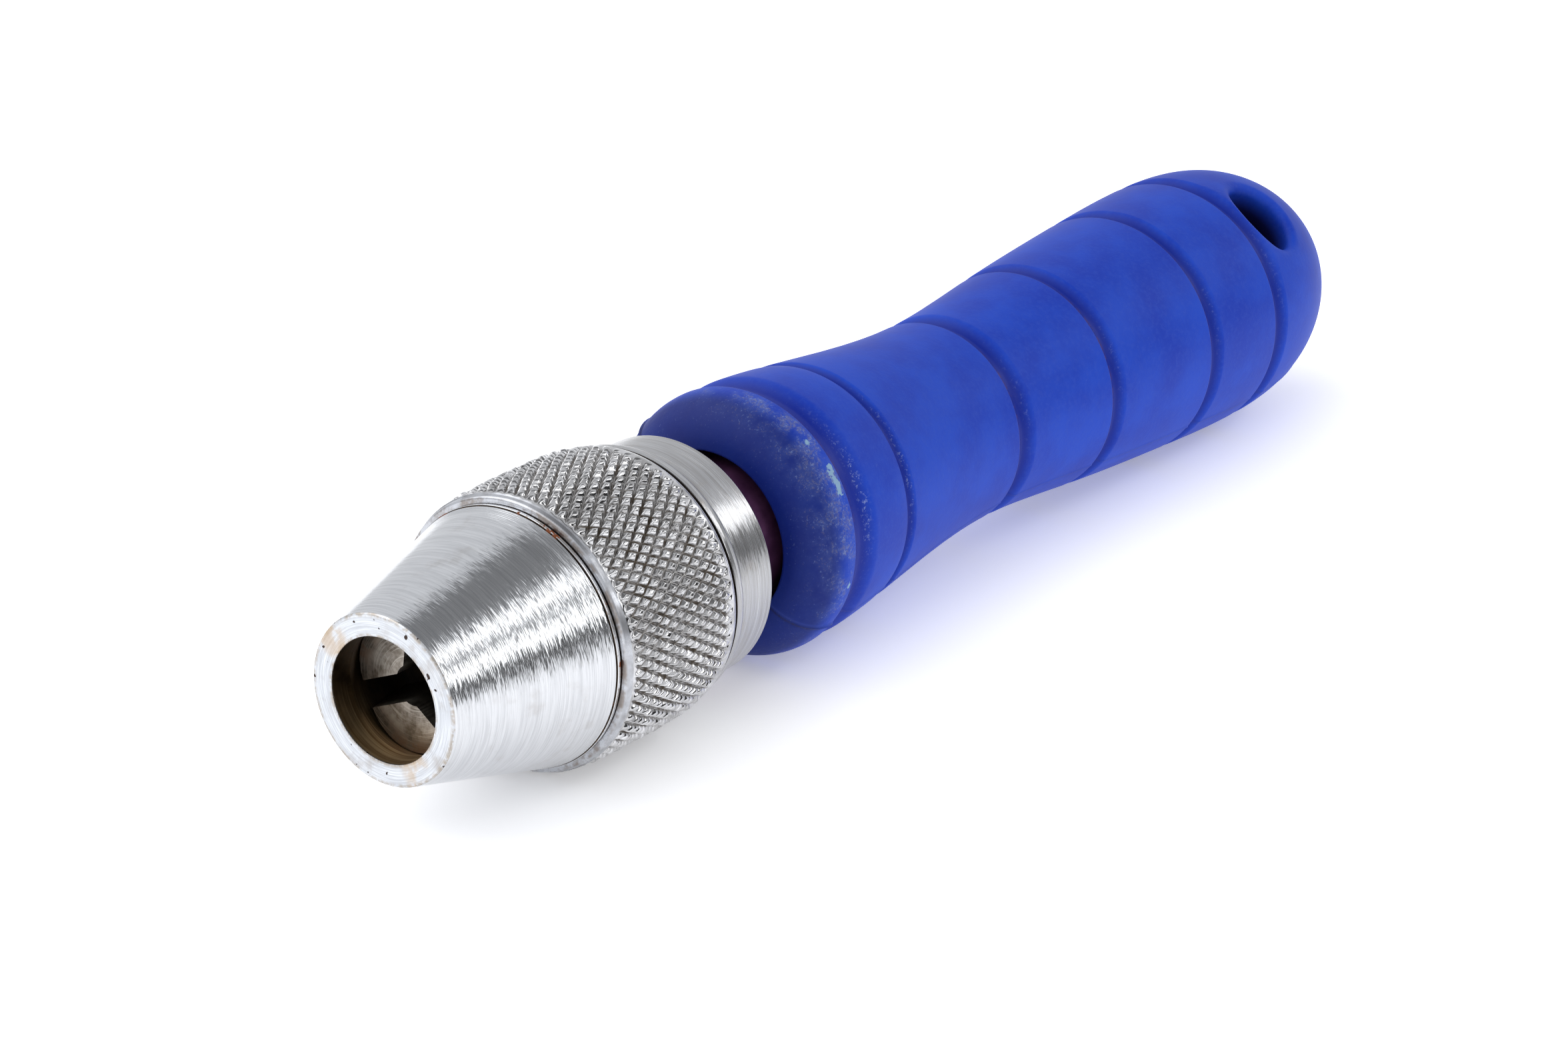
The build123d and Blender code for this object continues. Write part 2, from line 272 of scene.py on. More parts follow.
class Graph(Nodes):
    """Builds the node tree of one material, in the tool's own frame."""

    def __init__(self, name, **sockets):
        self.material = bpy.data.materials.new(name)
        self.material.use_nodes = True
        super().__init__(self.material.node_tree, "Object")
        self.shader = self.add("ShaderNodeBsdfPrincipled")
        self.join(self.shader.outputs[0], self.add("ShaderNodeOutputMaterial").inputs[0])
        for socket, value in sockets.items():
            self.set(socket.replace("_", " "), value)

    def set(self, socket, value):
        self.join(value, self.shader.inputs[socket])

    def finish(self, colour, roughness, normal):
        self.set("Base Color", colour)
        self.set("Roughness", roughness)
        self.set("Normal", normal)
        return self.material

    def vector(self, x, y, z):
        node = self.add("ShaderNodeCombineXYZ")
        for value, socket in zip((x, y, z), node.inputs):
            self.join(value, socket)
        return node.outputs[0]

    def noise(self, scale, detail=2.0, roughness=0.5, place=None, shift=0.0):
        """Noise whose features are about 1/scale of a metre, unless place is given."""
        node = self.add("ShaderNodeTexNoise")
        if shift:
            moved = self.add("ShaderNodeVectorMath", operation="ADD")
            self.join(self.place, moved.inputs[0])
            moved.inputs[1].default_value = (shift, shift, shift)
            place = moved.outputs[0]
        self.join(self.place if place is None else place, node.inputs["Vector"])
        node.inputs["Scale"].default_value = scale
        node.inputs["Detail"].default_value = detail
        node.inputs["Roughness"].default_value = roughness
        return node.outputs["Fac"]

    def radius(self):
        """Distance from the tool's axis, in metres."""
        squares = self.math("ADD", self.times(self.y, self.y), self.times(self.z, self.z))
        return self.math("SQRT", squares)

    def streaks(self, across, along, detail=3.0, by_radius=False, shift=0.0):
        """Noise drawn out round the axis: `across` and `along` are the streaks' width and length in mm."""
        fine = self.radius() if by_radius else self.x
        place = self.vector(
            self.line(fine, 1 / (across * MM), shift),
            self.times(self.y, 1 / (along * MM)),
            self.times(self.z, 1 / (along * MM)),
        )
        return self.noise(1.0, detail, 0.6, place)

    def attribute(self, name):
        return self.add("ShaderNodeAttribute", attribute_name=name).outputs["Fac"]

    def bump(self, height, strength, distance_mm, normal=None):
        node = self.add("ShaderNodeBump")
        self.join(height, node.inputs["Height"])
        node.inputs["Strength"].default_value = strength
        node.inputs["Distance"].default_value = distance_mm * MM
        if normal is not None:
            self.join(normal, node.inputs["Normal"])
        return node.outputs["Normal"]

    def tangent(self):
        """Direction of the tool marks, round the axis."""
        node = self.add("ShaderNodeTangent", direction_type="RADIAL", axis="X")
        return node.outputs["Tangent"]

    def facing(self, angle, low, high):
        """0 to 1 as the place round the axis nears `angle` in degrees; low and high are cosines."""
        toward = self.math("ADD", self.times(self.y, math.sin(math.radians(angle))),
                           self.times(self.z, math.cos(math.radians(angle))))
        return self.step(self.math("DIVIDE", toward, self.radius()), low, high)

    def leaning(self, value, amount):
        """The normal leant to and fro round the axis by a value of 0 to 1, as uneven tool marks lean it,
        and more so on the tool's right side."""
        share = self.scale(0.25, 1.0, self.facing(-50, 0.55, 0.80))
        value = self.line(self.math("SUBTRACT", value, 0.5), share, 0.5)
        lean = self.add("ShaderNodeVectorMath", operation="SCALE")
        self.join(self.tangent(), lean.inputs[0])
        self.join(self.line(value, 2 * amount, -amount), lean.inputs["Scale"])
        total = self.add("ShaderNodeVectorMath", operation="ADD")
        self.join(self.add("ShaderNodeNewGeometry").outputs["Normal"], total.inputs[0])
        self.join(lean.outputs[0], total.inputs[1])
        unit = self.add("ShaderNodeVectorMath", operation="NORMALIZE")
        self.join(total.outputs[0], unit.inputs[0])
        return unit.outputs[0]


def turned_steel(name, light, dark, rough, streak_mm, streak_length, depth, by_radius=False,
                 anisotropic=0.0, lean=0.0, stain=(0.20, 0.15, 0.10), stain_share=0.25, scratches=0.0):
    """Bright steel turned on a lathe: fine rings, uneven gloss and faint oily stains."""
    g = Graph(name, Metallic=1.0, Anisotropic=anisotropic)
    fine = g.streaks(streak_mm, streak_length, 3.0, by_radius)
    coarse = g.streaks(streak_mm * 3, streak_length * 1.6, 2.0, by_radius, 7.3)
    brush = g.streaks(streak_mm * 1.1, 1.3, 2.0, by_radius, 3.1)
    cloud = g.noise(240, 4.0, 0.6)
    tone = g.mix(g.step(g.math("ADD", fine, coarse), 0.72, 1.25), dark, light)
    tone = g.mix(g.times(g.step(brush, 0.60, 0.72), 0.35), tone, dark)
    if scratches:
        lines = g.streaks(0.045, 9.0, 1.0, by_radius, 11.7)
        tone = g.mix(g.times(g.step(lines, 0.66, 0.72), scratches), tone, (0.16, 0.14, 0.12))
        tone = g.mix(g.times(g.step(lines, 0.33, 0.27), scratches), tone, (0.95, 0.95, 0.94))
    dirt = g.times(g.step(cloud, 0.56, 0.78), stain_share)
    tone = g.mix(dirt, tone, stain)
    g.set("Base Color", tone)
    gloss = g.line(fine, 0.6, g.times(cloud, 0.4))
    g.set("Roughness", g.scale(rough[0], rough[1], gloss))
    if anisotropic:
        g.set("Tangent", g.tangent())
    height = g.line(coarse, 0.4, fine)
    g.set("Normal", g.bump(height, 1.0, depth, g.leaning(brush, lean) if lean else None))
    return g


cone_steel = turned_steel("turned_cone_steel", (0.69, 0.70, 0.72), (0.56, 0.57, 0.59), (0.10, 0.22),
                          0.08, 5.0, 0.0025, anisotropic=0.6, lean=0.28, scratches=0.20).material


def faced_steel():
    """The nose's front ring: facing marks, small pits, tan stains and a beige outer rim."""
    g = Graph("faced_steel", Metallic=1.0)
    rings = g.streaks(0.09, 4.0, 3.0, by_radius=True)
    cloud = g.noise(330, 4.0, 0.6)
    fine = g.noise(1300, 3.0, 0.6)
    base = g.mix(g.step(rings, 0.35, 0.68), (0.52, 0.54, 0.575), (0.73, 0.755, 0.79))
    base = g.mix(g.times(g.step(cloud, 0.50, 0.72), 0.6), base, (0.40, 0.37, 0.35))
    outer = g.step(g.radius(), (nose_r - 0.55) * MM, (nose_r - 0.15) * MM)
    inner = g.step(g.radius(), (mouth_r + 0.45) * MM, (mouth_r + 0.1) * MM)
    rim = g.times(g.math("MAXIMUM", outer, inner), g.step(fine, 0.36, 0.60))
    base = g.mix(g.times(rim, 0.65), base, (0.34, 0.27, 0.19))
    for angle in (52, -148):
        patch = g.times(g.facing(angle, 0.955, 0.995), g.step(cloud, 0.40, 0.55))
        base = g.mix(g.times(patch, 0.55), base, (0.52, 0.38, 0.24))
    pits = g.step(g.noise(1150, 1.0, 0.4), 0.705, 0.735)
    base = g.mix(pits, base, (0.05, 0.035, 0.03))
    g.set("Base Color", base)
    g.set("Roughness", g.scale(0.24, 0.42, cloud))
    height = g.line(pits, -4.0, g.math("ADD", rings, g.times(fine, 0.5)))
    g.set("Normal", g.bump(height, 1.0, 0.005, g.leaning(rings, 0.10)))
    return g.material


face_steel = faced_steel()


def oily_bore():
    """The mouth's wall and the cone inside it: brown with old oil, and golden and lighter lower down near the
    front, as painted light.
    """
    g = Graph("oiled_bore_steel", Metallic=0.85)
    rings = g.streaks(0.25, 12.0, 3.0)
    cloud = g.noise(380, 4.0, 0.62)
    # low: painted light on the lower wall near the mouth's front
    low = g.times(g.step(g.z, 0.5 * MM, -6 * MM), g.step(g.x, 6.5 * MM, 3.0 * MM))
    brown = g.mix(g.step(cloud, 0.35, 0.7), (0.022, 0.013, 0.006), (0.070, 0.042, 0.018))
    golden = g.mix(g.step(rings, 0.35, 0.7), (0.26, 0.15, 0.055), (0.58, 0.42, 0.23))
    return g.finish(
        g.mix(g.times(low, 0.75), brown, golden),
        g.scale(0.28, 0.55, cloud),
        g.bump(rings, 0.8, 0.02))


bore_steel = oily_bore()


def knurl_steel():
    """Rolled knurl: burnished lands, with brown oil and dust left in the cuts."""
    g = Graph("knurled_bright_steel", Metallic=1.0)
    cut = g.attribute("cut")
    cloud = g.noise(420, 4.0, 0.6)
    tiny = g.noise(2600, 3.0, 0.6)
    bright = g.mix(g.step(cloud, 0.3, 0.7), (0.38, 0.375, 0.375), (0.68, 0.68, 0.69))
    dirt = g.times(g.step(cut, 0.22, 0.85), g.scale(0.30, 1.0, g.step(cloud, 0.35, 0.65)))
    return g.finish(
        g.mix(dirt, bright, (0.080, 0.062, 0.045)),
        g.line(dirt, 0.35, g.scale(0.06, 0.15, tiny)),
        g.bump(g.line(tiny, 0.25, cloud), 0.5, 0.010))


def lip_steel():
    """The plain front lip of the sleeve: bluish grey, lightly scuffed, brown beside the knurl."""
    g = Graph("lip_steel", Metallic=1.0)
    rings = g.streaks(0.10, 5.0)
    cloud = g.noise(600, 4.0, 0.6)
    base = g.mix(g.step(cloud, 0.3, 0.75), (0.54, 0.555, 0.59), (0.34, 0.34, 0.355))
    brown = g.times(g.step(g.x, (sleeve_start + 0.16) * MM, (sleeve_start + 0.02) * MM),
                   g.step(cloud, 0.42, 0.60))
    return g.finish(
        g.mix(g.times(brown, 0.6), base, (0.20, 0.15, 0.11)),
        g.scale(0.18, 0.40, cloud),
        g.bump(g.math("ADD", rings, cloud), 0.6, 0.012))


def seam_steel():
    """The thin raised ring at the seam: bright on its crest, brown beside it, rusty in a few places."""
    g = Graph("seam_steel", Metallic=1.0)
    rings = g.streaks(0.07, 5.0)
    patch = g.noise(300, 3.0, 0.55)
    fine = g.noise(1700, 2.0, 0.6)
    crest = g.step(g.radius(), (cone_end_r - 0.07) * MM, (cone_end_r - 0.015) * MM)
    grey = g.mix(g.step(rings, 0.35, 0.62), (0.62, 0.62, 0.63), (0.88, 0.89, 0.91))
    base = g.mix(crest, (0.040, 0.028, 0.020), grey)
    film = g.times(g.step(fine, 0.55, 0.70), 0.5)
    base = g.mix(film, base, (0.16, 0.095, 0.05))
    where = g.line(g.facing(-22, 0.80, 0.99), 0.07, patch)
    rust = g.step(g.line(fine, 0.35, where), 0.83, 0.87)
    g.set("Base Color", g.mix(rust, base, (0.20, 0.055, 0.014)))
    g.set("Metallic", g.scale(1.0, 0.1, rust))
    g.set("Roughness", g.line(rust, 0.5, g.scale(0.14, 0.34, patch)))
    g.set("Normal", g.bump(rings, 0.7, 0.010))
    return g.material


knurl_material = knurl_steel()
lip_material = lip_steel()
seam_material = seam_steel()

collar_steel = turned_steel("turned_collar_steel", (0.47, 0.475, 0.49), (0.36, 0.355, 0.355), (0.16, 0.28),
                            0.10, 7.0, 0.003, anisotropic=0.5, lean=0.16, stain=(0.36, 0.29, 0.21),
                            stain_share=0.5, scratches=0.6).material
hidden_steel = turned_steel("machined_steel", (0.46, 0.46, 0.46), (0.30, 0.30, 0.30), (0.28, 0.45),
                            0.16, 10.0, 0.006).material
polished_steel = turned_steel("ground_steel", (0.72, 0.73, 0.74), (0.62, 0.63, 0.64), (0.08, 0.18),
                              0.10, 20.0, 0.001, by_radius=True, stain_share=0.1).material


def brass(name):
    """Machined brass with a faint tarnish."""
    g = Graph(name, Metallic=1.0)
    cloud = g.noise(500, 4.0, 0.6)
    rings = g.streaks(0.15, 10.0)
    return g.finish(
        g.mix(g.step(cloud, 0.35, 0.75), (0.76, 0.58, 0.26), (0.48, 0.34, 0.15)),
        g.scale(0.2, 0.4, cloud),
        g.bump(rings, 0.5, 0.006))


def neck_steel():
    """The chuck's body: nearly black in front, and maroon at the neck as painted shade of the recess round
    it.
    """
    g = Graph("dark_body_steel", Metallic=0.6)
    cloud = g.noise(300, 4.0, 0.6)
    rings = g.streaks(0.2, 12.0)
    maroon = g.mix(g.step(cloud, 0.3, 0.75), (0.085, 0.026, 0.085), (0.17, 0.060, 0.16))
    front_dark = g.mix(g.step(cloud, 0.3, 0.75), (0.012, 0.009, 0.007), (0.040, 0.028, 0.018))
    return g.finish(
        g.mix(g.step(g.x, (sleeve_end - 2) * MM, sleeve_end * MM), front_dark, maroon),
        g.scale(0.35, 0.6, cloud),
        g.bump(rings, 0.6, 0.01))


def oily_gap_shade_steel():
    """Edges deep in the gaps between turned pieces: dark with oil, and darker still as painted shade in the
    gaps.
    """
    g = Graph("oily_gap_shade_steel", Metallic=0.5)
    cloud = g.noise(700, 3.0, 0.6)
    return g.finish(
        g.mix(g.step(cloud, 0.3, 0.7), (0.020, 0.016, 0.014), (0.065, 0.050, 0.040)),
        g.scale(0.35, 0.6, cloud),
        g.bump(cloud, 0.4, 0.01))


def jaw_steel():
    """Jaw faces: grey-brown, turned in arcs about the axis, rustier towards their edges, and darkened further
    back in the mouth as painted shade.
    """
    g = Graph("jaw_turned_steel", Metallic=0.9)
    arcs = g.streaks(0.16, 5.0, 3.0, by_radius=True)
    cloud = g.noise(520, 5.0, 0.65)
    base = g.mix(g.step(cloud, 0.32, 0.66), (0.15, 0.125, 0.10), (0.46, 0.42, 0.37))
    base = g.mix(g.times(g.step(arcs, 0.52, 0.64), 0.5), base, (0.62, 0.58, 0.52))
    edge = g.times(g.step(g.radius(), 4.6 * MM, 6.6 * MM), g.step(cloud, 0.40, 0.6))
    # Further back in the mouth the jaw faces turn nearly black: painted shade
    back = g.step(g.x, 4.6 * MM, 6.5 * MM)
    base = g.mix(g.times(edge, 0.65), base, (0.20, 0.09, 0.03))
    return g.finish(
        g.mix(g.times(back, 0.8), base, (0.05, 0.035, 0.022)),
        g.scale(0.25, 0.5, cloud),
        g.bump(g.line(cloud, 0.6, arcs), 0.8, 0.02))


jaw_material = jaw_steel()
neck_material = neck_steel()
gap_material = oily_gap_shade_steel()


# ---------------------------------------------------------------- nose

def build_nose():
    """The hood: faced nose, turned cone with coarser cuts near the seam, and the bore."""
    cone_end = sleeve_start - SEAM_GAP
    skirt_r = cone_end_r - 1.12
    bore_r = skirt_r - 0.9
    bore_start = mouth_length + (bore_r - mouth_r) / math.tan(math.radians(20))

    # Faced ring, from the mouth's rim out to the chamfer
    face = resample([(0.0, mouth_r + 0.10), (0.0, nose_r - 0.14)], 0.05)
    face[:, 0] += 0.007 * tool_marks(len(face), 3.0, 0.5)
    rim = [(0.16, mouth_r), (0.05, mouth_r + 0.03)]
    chamfer = [(0.02, nose_r - 0.12), (0.10, nose_r - 0.03)]

    # Cone: fine rings, growing coarser over its last few millimetres
    cone = resample([(0.16, nose_r), (cone_end - 0.67, cone_end_r - 0.10)], 0.055)
    fine = tool_marks(len(cone), 2.7, 0.35)
    coarse = tool_marks(len(cone), 4.0, 0.85)
    near_seam = smoothstep(cone[:, 0], cone_end - 4.2, cone_end - 1.6)
    cone[:, 1] -= 0.0022 * fine * (1 - near_seam) + 0.028 * coarse * near_seam

    # Seam: a narrow cut, then a thin bright ring with a rounded edge at the gap
    seam = np.array([
        (cone_end - 0.66, cone_end_r - 0.19), (cone_end - 0.63, cone_end_r - 0.28),
        (cone_end - 0.54, cone_end_r - 0.28), (cone_end - 0.49, cone_end_r - 0.06),
        (cone_end - 0.45, cone_end_r - 0.012), (cone_end - 0.38, cone_end_r),
        (cone_end - 0.28, cone_end_r - 0.004), (cone_end - 0.19, cone_end_r),
        (cone_end - 0.11, cone_end_r - 0.012), (cone_end - 0.05, cone_end_r - 0.06),
        (cone_end - 0.01, cone_end_r - 0.20), (cone_end, cone_end_r - 0.40),
        (cone_end, skirt_r + 0.01),
    ])
    skirt = np.array([(cone_end + 0.02, skirt_r), (SKIRT_END, skirt_r)])
    inside = np.concatenate([
        [(SKIRT_END, bore_r)],
        resample([(bore_start, bore_r), (mouth_length, mouth_r)], 0.35),
        resample([(mouth_length - 0.02, mouth_r), (0.17, mouth_r)], 0.2),
    ])
    sections = [(np.array(rim), 1), (face, 1), (np.array(chamfer), 1), (cone, 0),
                (seam, 2), (skirt, 3), (inside, 3)]
    nose = turned("turned_nose", sections, 320, [cone_steel, face_steel, seam_material, bore_steel], sharp=38)
    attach(nose, "sleeve")
    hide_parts("nose_hood")
    return nose


# ---------------------------------------------------------------- knurled sleeve

KNURL_STARTS = 69
KNURL_STEPS = 12
KNURL_LEAD = 2.17
KNURL_DEPTH = 0.56


def build_sleeve():
    """The sleeve, with a diamond knurl of two families of straight helical cuts.

    The knurled rows and columns are spaced so that every crease of the pattern lies on an edge:
    family A is constant along one diagonal of the grid, and family B along the other."""
    columns = KNURL_STARTS * KNURL_STEPS
    spacing = KNURL_LEAD / KNURL_STEPS
    knurl_front, knurl_back = sleeve_start + 0.75, sleeve_end - 0.48
    rows = int((knurl_back - knurl_front) / spacing) + 1
    x = knurl_front + np.arange(rows) * spacing
    barrel = outline("knurled_sleeve", x, SLEEVE_METAL_R)
    barrel = np.convolve(np.pad(barrel, 3, mode="edge"), np.ones(7) / 7, "valid")
    barrel = np.minimum(barrel, sleeve_r)

    row, column = np.meshgrid(np.arange(rows), np.arange(columns), indexing="ij")
    half = KNURL_STEPS // 2

    def family(phase):
        """Height across one family: a steep cut that rounds over to a nearly flat land."""
        from_cut = np.abs((phase + half) % KNURL_STEPS - half)
        return np.interp(from_cut, np.arange(half + 1), [0.0, 0.24, 0.50, 0.76, 0.92, 0.98, 1.0])

    height_a = family(row + column)
    height_b = family(row - column)
    height = np.minimum(height_a, height_b)

    # Each land is rolled a little higher or lower, leans its own way, and has a blunter or keener top
    cell_a = np.floor_divide(row + column, KNURL_STEPS) % KNURL_STARTS
    cell_b = np.floor_divide(row - column, KNURL_STEPS) % KNURL_STARTS
    cells = (KNURL_STARTS, KNURL_STARTS)
    lift = rng.normal(0, 0.035, cells)[cell_a, cell_b]
    lean_x = rng.normal(0, 0.17, cells)[cell_a, cell_b]
    lean_y = rng.normal(0, 0.17, cells)[cell_a, cell_b]
    top = rng.uniform(0.80, 1.10, cells)[cell_a, cell_b]
    along = ((row + column) % KNURL_STEPS + (row - column) % KNURL_STEPS) / KNURL_STEPS - 1
    across = ((row + column) % KNURL_STEPS - (row - column) % KNURL_STEPS) / KNURL_STEPS
    land = smoothstep(height, 0.0, 0.8)
    leant = land * (lift + lean_x * along + lean_y * across)
    shaped = np.minimum(height, top) + leant
    fade_in = smoothstep(x, knurl_front - 0.1, knurl_front + 1.3)
    fade_out = smoothstep(-x, -(knurl_back + 0.1), -(knurl_back - 2.1))
    strength = (fade_in * fade_out)[:, None] * (1 + 0.06 * np.sin(7 * np.arange(columns) * math.pi / columns))
    depth = KNURL_DEPTH * strength * (1.08 - np.clip(shaped, 0, 1.08))
    radius = barrel[:, None] - depth

    # Plain parts of the outline, in front of and behind the knurl
    lip_r = outline("knurled_sleeve", [sleeve_start + 0.36], SLEEVE_METAL_R)[0]
    front = resample([(sleeve_start, SLEEVE_BORE_R), (sleeve_start, lip_r - 0.35)], 0.4)
    turn = np.linspace(0, math.pi / 2, 7)[1:]
    lip = np.column_stack([sleeve_start + 0.35 * (1 - np.cos(turn)), lip_r - 0.35 + 0.35 * np.sin(turn)])
    lip = np.vstack([lip, [(sleeve_start + 0.52, lip_r + 0.045), (sleeve_start + 0.66, lip_r + 0.06)]])
    land_x = np.arange(knurl_back + 0.08, sleeve_end - 0.2, 0.08)
    land_r = outline("knurled_sleeve", land_x, SLEEVE_METAL_R) - 0.006 * tool_marks(len(land_x), 3, 0.5)
    rear_r = land_r[-1]
    rear_edge = np.array([(sleeve_end - 0.15, rear_r - 0.03), (sleeve_end - 0.04, rear_r - 0.12)])
    rear = np.array([(sleeve_end, rear_r - 0.28), (sleeve_end, SLEEVE_REAR_BORE_R),
                     (SKIRT_END, SLEEVE_REAR_BORE_R), (SKIRT_END, SLEEVE_BORE_R)])
    plain = [front, lip, np.column_stack([land_x, land_r]), rear_edge, rear]

    angles = np.arange(columns) * 2 * math.pi / columns
    before = np.concatenate(plain[:2])
    after = np.concatenate(plain[2:])
    vertices = np.concatenate([
        ring_points(before[:, 0], before[:, 1], angles),
        ring_points(x, radius, angles),
        ring_points(after[:, 0], after[:, 1], angles),
    ])
    total = len(before) + rows + len(after)
    faces, zones = [], []
    first = len(before)
    for r in range(total):
        here, there = r * columns, ((r + 1) % total) * columns
        knurled = first <= r < first + rows - 1
        for c in range(columns):
            after_c = (c + 1) % columns
            corners = (here + c, there + c, there + after_c, here + after_c)
            if not knurled:
                faces.append(corners)
                in_gap = r >= total - len(rear) - 2
                zones.append(2 if in_gap else 1 if r < first else 0)
                continue
            k = r - first
            sum_a, sum_b = (h[k, c] + h[k + 1, after_c] for h in (height_a, height_b))
            if sum_a < sum_b:
                faces.append((corners[0], corners[1], corners[3]))
                faces.append((corners[1], corners[2], corners[3]))
            else:
                faces.append((corners[0], corners[1], corners[2]))
                faces.append((corners[0], corners[2], corners[3]))
            zones += [0, 0]
    sleeve = make_object("knurled_barrel", vertices, faces, [knurl_material, lip_material, gap_material],
                         zones, sharp=0)
    cut = np.zeros(len(vertices), np.float32)
    in_cut = strength.clip(0, 1) * (1 - smoothstep(height, 0.05, 0.66))
    cut[first * columns:(first + rows) * columns] = in_cut.ravel()
    sleeve.data.attributes.new("cut", "FLOAT", "POINT").data.foreach_set("value", cut)
    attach(sleeve, "sleeve")
    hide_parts("knurled_sleeve")
    return sleeve


# ---------------------------------------------------------------- collar

def build_collar():
    """The collar behind the sleeve: shoulder, cove with two bright lines, and turned barrel."""
    barrel_r = outline("rear_collar", [collar_end - 2.0], 9.0)[0]
    cove_end = collar_start + 1.9
    shoulder = resample([(collar_start + 0.34, shoulder_r), (collar_start + 0.85, shoulder_r - 0.01)], 0.06)
    shoulder[:, 1] -= 0.010 * tool_marks(len(shoulder), 3, 0.5)
    turn = np.linspace(0, math.pi / 2, 10)
    cove = np.column_stack([collar_start + 0.9 + (cove_end - collar_start - 0.9) * np.sin(turn),
                            shoulder_r - 0.03 - (shoulder_r - barrel_r - 0.06) * (1 - np.cos(turn))])
    barrel = resample([(cove_end + 0.05, barrel_r + 0.02), (collar_end - 0.15, barrel_r)], 0.06)
    barrel[:, 1] -= 0.006 * tool_marks(len(barrel), 3.3, 0.4)
    barrel[:, 1] -= 0.03 * np.exp(-((barrel[:, 0] - cove_end - 0.35) / 0.06) ** 2)
    edge = np.array([(collar_end - 0.07, barrel_r - 0.04), (collar_end, barrel_r - 0.14),
                     (collar_end, COLLAR_BORE_R), (collar_start, COLLAR_BORE_R),
                     (collar_start, shoulder_r - 0.50),
                     (collar_start + 0.22, shoulder_r - 0.45), (collar_start + 0.26, shoulder_r - 0.12),
                     (collar_start + 0.29, shoulder_r - 0.03)])
    sections = [(shoulder, 0), (cove, 0), (barrel, 0), (edge[:3], 0), (edge[3:-1], 1), (edge[-1:], 0)]
    collar = turned("turned_collar", sections, 320, [collar_steel, gap_material], sharp=38)
    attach(collar, "handle")
    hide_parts("rear_collar")
    return collar


# ---------------------------------------------------------------- handle

def plastic():
    """Matte blue plastic: mottled, scuffed on the front bead, dusty in the ring grooves, with painted shade
    on the front dome, in the grooves and in the hang hole, and a painted highlight on the grooves' rear
    edges.
    """
    g = Graph("blue_moulded_plastic", Specular_IOR_Level=0.19)
    broad = g.noise(120, 4.0, 0.60)
    grain = g.noise(1900, 3.0, 0.65)
    speck = g.noise(3300, 3.0, 0.75)
    clump = g.noise(420, 3.0, 0.6)
    groove = g.attribute("groove")
    wear = g.attribute("wear")
    dirty = g.attribute("groove_edge")
    mould = g.attribute("mould")
    chip = g.attribute("chip")
    base = g.mix(g.step(broad, 0.3, 0.7), (0.0034, 0.034, 0.395), (0.0078, 0.058, 0.500))
    base = g.mix(g.times(g.step(grain, 0.42, 0.72), 0.28), base, (0.030, 0.078, 0.46))
    # Painted shade: the front dome is a darker blue
    dome = g.times(g.step(g.x, (handle_start + 5.0) * MM, (handle_start + 2.5) * MM), 0.76)
    base = g.mix(dome, base, (0.002, 0.006, 0.085))
    # Painted shade in the ring grooves, and in the hang hole through the same attribute
    base = g.mix(g.times(groove, 0.86), base, (0.0018, 0.0130, 0.235))
    # Painted shade: nearly black deep inside the hang hole
    base = g.mix(g.times(g.attribute("deep"), 0.92), base, (0.0040, 0.0012, 0.0080))

    # Pale dust and brown specks, in clumps where the plastic is worn
    worn = g.times(wear, g.step(clump, 0.25, 0.60))
    dust = g.step(g.line(worn, 0.18, speck), 0.66, 0.84)
    base = g.mix(g.times(dust, g.scale(0.10, 0.50, worn)), base, (0.25, 0.34, 0.62))
    brown_speck = g.step(g.line(worn, 0.24, g.noise(3000, 3.0, 0.75, shift=4.1)), 0.68, 0.80)
    base = g.mix(g.times(g.times(brown_speck, worn), 0.34), base, (0.20, 0.165, 0.115))
    film = g.times(g.step(wear, 0.25, 1.0), g.step(clump, 0.30, 0.70))
    base = g.mix(g.times(film, 0.30), base, (0.13, 0.19, 0.44))

    # Grime along the front of each groove; whiter grit on its rear edge, with a painted highlight there
    grime = g.times(dirty, g.step(g.noise(1100, 4.0, 0.7), 0.40, 0.60))
    base = g.mix(g.times(grime, 0.92), base, (0.105, 0.048, 0.088))
    # Grit and painted highlight: lighter blue specks on each groove's rear edge
    grit_and_highlight = g.times(g.attribute("grit_and_highlight"), g.step(g.noise(2600, 3.0, 0.75, shift=9.2), 0.54, 0.66))
    base = g.mix(g.times(grit_and_highlight, 0.55), base, (0.36, 0.44, 0.68))

    # Bruised chips on the bead, and the moulding's parting line
    torn = g.line(g.noise(1300, 4.0, 0.75, shift=2.7), 0.9, g.times(chip, 0.70))
    ragged = g.step(torn, 0.90, 0.99)
    base = g.mix(g.times(ragged, 0.80), base, (0.28, 0.45, 0.57))
    base = g.mix(g.times(g.attribute("mould_edge"), 0.25), base, (0.060, 0.095, 0.42))
    base = g.mix(g.times(mould, g.scale(0.5, 0.9, g.step(speck, 0.4, 0.6))), base, (0.0030, 0.0040, 0.050))
    g.set("Base Color", base)
    gloss = g.line(grain, 0.5, g.times(broad, 0.5))
    g.set("Roughness", g.line(groove, -0.12, g.scale(0.42, 0.62, gloss)))
    height = g.line(ragged, 1.2, g.line(broad, 0.6, grain))
    height = g.line(dust, 0.8, height)
    g.set("Normal", g.bump(height, 0.6, 0.03))
    return g.material


def recess_plastic():
    """The recess in the handle's front, dark maroon as painted shade."""
    g = Graph("recess_plastic", Roughness=0.55, Specular_IOR_Level=0.4)
    cloud = g.noise(500, 4.0, 0.6)
    g.set("Base Color", g.mix(g.step(cloud, 0.3, 0.7), (0.060, 0.016, 0.060), (0.12, 0.036, 0.110)))
    g.set("Normal", g.bump(cloud, 0.5, 0.03))
    return g.material


